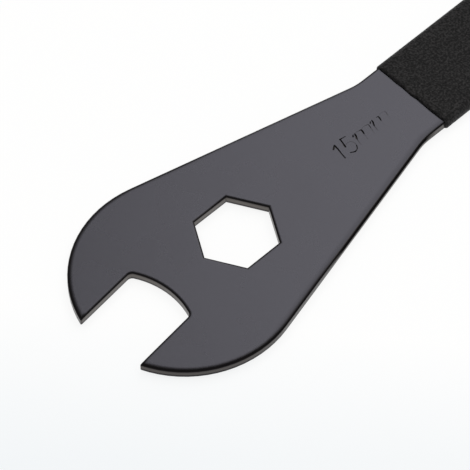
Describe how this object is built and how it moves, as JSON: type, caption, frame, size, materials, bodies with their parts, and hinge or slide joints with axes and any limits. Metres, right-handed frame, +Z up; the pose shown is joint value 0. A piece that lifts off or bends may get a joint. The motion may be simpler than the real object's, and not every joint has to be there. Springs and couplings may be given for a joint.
{
  "type": "cone wrench",
  "caption": "Flat single-ended cone wrench: a thin steel blade with an angled open jaw and a closed hexagonal hole in its round head, and a dipped vinyl grip over its straight tang.",
  "frame": {"origin": "on the axis of the closed hexagonal hole, at the blade's underside", "axes": "+X along the middle line of the handle, from the jaw to the grip's end; +Z up, out of the blade's upper face; the grip's underside lies 0.6 mm below Z = 0"},
  "size_m": [0.2099, 0.0458, 0.0032],
  "materials": {
    "blade_steel": "dark grey satin conversion coat on tumbled sheet steel",
    "grip_vinyl": "black foamed vinyl with a fine grain"
  },
  "bodies": {
    "root": {"blade": "blade_steel", "grip": "grip_vinyl"}
  },
  "joints": []
}
